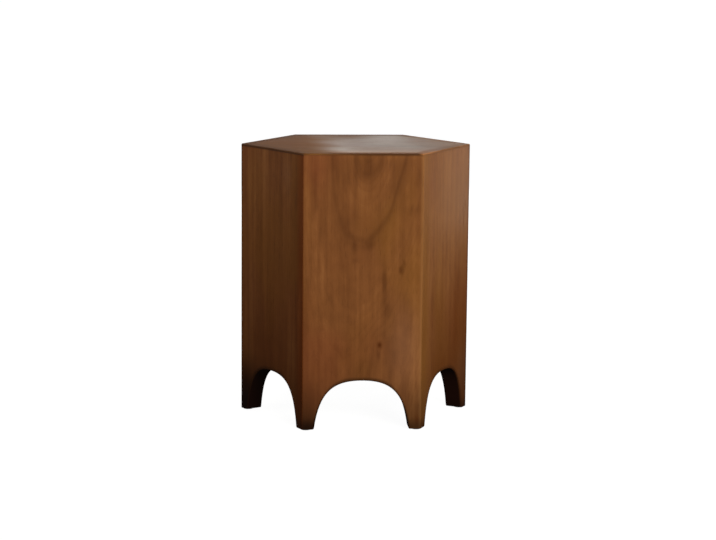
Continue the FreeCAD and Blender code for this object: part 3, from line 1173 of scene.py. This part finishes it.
# Depths below the face at which the lip ends and the raw wood starts, and widths of the fine lines.
LIP_FADE = (0.006, 0.003)
UNDER_FADE = (0.010, 0.024)
GLUE_LINE = 0.0007
LIP_LINE = 0.0012

# The same numbers for each board.
TOP_HEARTS = {
    "front": (31.4, 0.015, -0.35, 0.2, 0.08),
    "middle": (36.8, -0.04, 0.3, 0.26, 0.085),
    "back": (41.5, 0.1, 0.1, 0.15, 0.06),
}

# Patches of polish: towards the front, towards the right, width, length and strength.
TOP_SHEEN = (
    (-0.09, 0.06, 0.08, 0.036, 0.24),
    (0.09, -0.04, 0.07, 0.028, 0.3),
    (-0.145, -0.018, 0.058, 0.056, -0.7),
    (0.01, 0.0, 0.06, 0.022, -0.08),
    (0.11, 0.115, 0.05, 0.045, 0.1),
)
print("patches of polish:", len(TOP_SHEEN))

# %% [markdown]
# Where the polish is whole, the top is smooth and coated, and where it is rubbed off, it is rough and a
# little more golden. So one value, the polish, drives the colour, the roughness and the coat together,
# and a fine smear in the coat breaks up the mirror.

# %% Finish the top
def strip(distance, start, full):
    """1 along the table's edge and 0 inside it, for a distance from the table's middle."""
    return distance.rise(APOTHEM - start, APOTHEM - full)


def finish_top(piece, name, number):
    """Polished wood on one board of the top."""
    middle = -APOTHEM + BOARD_WIDTH * (number + 0.5)
    at = (middle, HEIGHT, 0)
    material, surface, place = new_finish("polished_top_" + name, TOP_TURN, at)
    wood = Wood(place, *TOP_HEARTS[name], tone=TOP_TONE)
    across, depth, along = wood.place
    towards_front = across - middle
    slant = along * math.cos(HALF_TURN)
    lean = towards_front * math.sin(HALF_TURN)
    reach = abs(towards_front).math("MAXIMUM", abs(slant + lean)).math("MAXIMUM", abs(slant - lean))
    clean = along.bell(CLEAN_AT, CLEAN_WIDTH) * towards_front.rise(0.0, APOTHEM)
    dark_rim = (1 - along.rise(*CLEAN_RIGHT)) * (1 - clean * 0.8)
    dull_rim = strip(reach, *DULL_STRIP) * (1 - along.rise(*DULL_RIGHT) * 0.6)

    wood.paint(abs(across).rise(BOARD_WIDTH / 2 - GLUE_LINE, BOARD_WIDTH / 2) * 0.35, WOOD_LINE)
    wood.paint(depth.bell(HEIGHT - LIP_Z, LIP_LINE) * (dark_rim * 0.45 + 0.15), JOINT_DARK)
    # The underside of the top: raw, rougher wood, painted nearly black as painted shade.
    below = depth.rise(*UNDER_FADE)
    wood.paint(below * 0.8, INSIDE_RAW_AND_SHADE)
    rubbed = place.noise(*RUBS, detail=3) * 0.10 + along
    sheen = 1.0
    for *patch, strength in TOP_SHEEN:
        sheen = sheen + spot(towards_front, along, *patch) * strength
    polish = rubbed.rise(*POLISH_START) * (1 - rubbed.rise(*POLISH_LESS) * 0.42) * sheen
    wood.paint((1 - polish) * 0.35, WOOD_GOLD)
    # Paler bands across the top; the one at the left stands in for part of the sheen as painted
    # reflection.
    wood.paint(along.bell(-0.058, 0.032) * 0.34 + along.rise(0.09, 0.17) * 0.32, PALE_WEAR_AND_HIGHLIGHT)
    # Worn paler along the front where polished; the same paint is also a painted sheen.
    wood.paint(strip(towards_front, *WORN_AND_SHEEN_STRIP) * polish * 0.80, WORN_AND_SHEEN)
    wood.paint(dull_rim * dark_rim * 0.36, WOOD_LINE)
    rim = strip(reach, *DIRTY_STRIP) * depth.rise(*LIP_FADE)
    wood.paint(rim * dark_rim * (0.36 + along.rise(-0.07, 0.01) * 0.34), JOINT_DARK)
    wood.rough = wood.rough + 0.22 - polish * 0.28 * (1 - dull_rim) + below * 0.30
    smear = place.noise(*SMEARS, detail=4, rough=0.6)
    coat = polish * (0.28 + (smear - 0.5) * 0.50) * (1 - dull_rim * 0.85)
    wood.finish(surface, coat + 0.02)
    dress(piece, material)
    return material


for i, (piece, name) in enumerate(zip(boards, BOARD_NAMES)):
    made = finish_top(piece, name, i)
    print(made.name, len(made.node_tree.nodes), "nodes")

# %% [markdown]
# ### The hidden pieces
# Under the top, battens and three-cornered blocks are screwed and glued into the angles. Their shape in
# the frame is already right, so they stay and only get a finish: planed softwood in the brown of old glue
# and dust, the grain along each batten and up each block. The tongues in the mitres are plywood, in thin
# layers.

# %% Finish the battens, blocks and tongues
BATTEN_PALE = srgb(120, 82, 50)
BATTEN_DEEP = srgb(76, 47, 27)
BATTEN_DUST = srgb(60, 42, 29)
PLY_PALE = srgb(186, 148, 104)
PLY_DARK = srgb(112, 74, 44)
PLY_LAYER = 0.0012


def finish_batten(node, turn, seed):
    """Planed, unpolished wood whose grain runs along the z axis of the turned place."""
    material, surface, place = new_finish("planed_" + node.name, turn)
    inside = place.moved(seed, 0.7 * seed, 1.9 * seed)
    line = inside.noise(170, 170, 3, detail=4, rough=0.6)
    fibre = inside.noise(900, 900, 25, detail=3)
    saw_marks = inside.noise(30, 30, 260, detail=1)
    tone = 0.5 + (line - 0.5) * 1.3 + (fibre - 0.5) * 0.5 + (saw_marks - 0.5) * 0.2
    colour = tone.colours((0.25, BATTEN_DEEP), (0.75, BATTEN_PALE))
    dust = inside.noise(22, 22, 22, detail=3).rise(0.45, 0.75)
    plug(surface, "Base Color", (dust * 0.5).over(colour, BATTEN_DUST))
    plug(surface, "Roughness", 0.68 + (fibre - 0.5) * 0.3)
    emboss(surface, fibre + saw_marks * 0.6, 0.3, 0.0004)
    dress(node, material)


def finish_tongue(node, turn, seed):
    """Plywood, in layers across the thickness, which lies along the x axis of the turned place."""
    material, surface, place = new_finish("plywood_" + node.name, turn)
    thickness = place.split()[0]
    layer = (thickness * (1 / PLY_LAYER)).math("PINGPONG", 1.0)
    fibre = place.moved(seed, seed, seed).noise(500, 500, 20, detail=3)
    tone = layer.rise(0.35, 0.65) * 0.7 + fibre * 0.4
    plug(surface, "Base Color", tone.colours((0.2, PLY_DARK), (0.9, PLY_PALE)))
    plug(surface, "Roughness", 0.62 + (fibre - 0.5) * 0.3)
    emboss(surface, fibre + layer * 0.3, 0.25, 0.0003)
    dress(node, material)


UPRIGHT_TO_SIDEWAYS = -math.pi / 2
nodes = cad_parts
for i, name in enumerate(PANEL_NAMES):
    finish_batten(nodes["top_cleat_" + name], (0, UPRIGHT_TO_SIDEWAYS, -TURN * i), seed=2.3 * i + 1)
for i, name in enumerate(CORNER_NAMES):
    turn = (0, 0, -TURN * (i - 1))
    finish_batten(nodes["corner_block_" + name], turn, seed=3.1 * i + 20)
    finish_tongue(nodes["corner_spline_" + name], turn, seed=1.7 * i)
print("planed and plywood finishes:", 3 * len(CORNER_NAMES))

# %% [markdown]
# ### Screws and felt
# The screws are steel with a thin yellow zinc plating, scuffed by the driver. The pads are pressed wool:
# many short hairs lying all ways, no shine, darker where they have picked up dust.

# %% Finish the screws and pads
ZINC = srgb(196, 172, 112)
ZINC_DULL = srgb(120, 104, 74)
FELT_DARK = srgb(34, 26, 20)
FELT_PALE = srgb(74, 60, 48)


def finish_screws(node):
    """Yellow zinc on steel."""
    material, surface, place = new_finish("zinc_" + node.name)
    scuff = place.noise(900, 900, 900, detail=4, rough=0.65)
    dull = place.noise(160, 160, 160, detail=2)
    tone = (scuff - 0.5) * 0.8 + dull
    plug(surface, "Base Color", tone.colours((0.3, ZINC_DULL), (0.65, ZINC)))
    plug(surface, "Roughness", 0.30 + (scuff - 0.5) * 0.5)
    surface.inputs["Metallic"].default_value = 1.0
    emboss(surface, scuff, 0.15, 0.0002)
    dress(node, material)


def felt_finish():
    """Pressed wool felt."""
    material, surface, place = new_finish("pressed_felt")
    hair = place.noise(2600, 700, 1500, detail=4, rough=0.7)
    tuft = place.noise(420, 420, 420, detail=3)
    tone = hair * 0.6 + tuft * 0.5
    plug(surface, "Base Color", tone.colours((0.35, FELT_DARK), (0.75, FELT_PALE)))
    plug(surface, "Roughness", 0.86 + (hair - 0.5) * 0.2)
    surface.inputs["Sheen Weight"].default_value = 0.3
    emboss(surface, hair + tuft, 0.6, 0.0006)
    return material


for name in ("cleat_screws", "top_screws"):
    finish_screws(nodes[name])
felt = felt_finish()
for piece in pads:
    dress(piece, felt)
print("metal and felt finishes: 3")

# %% [markdown]
# The looks must not change the size of the table.
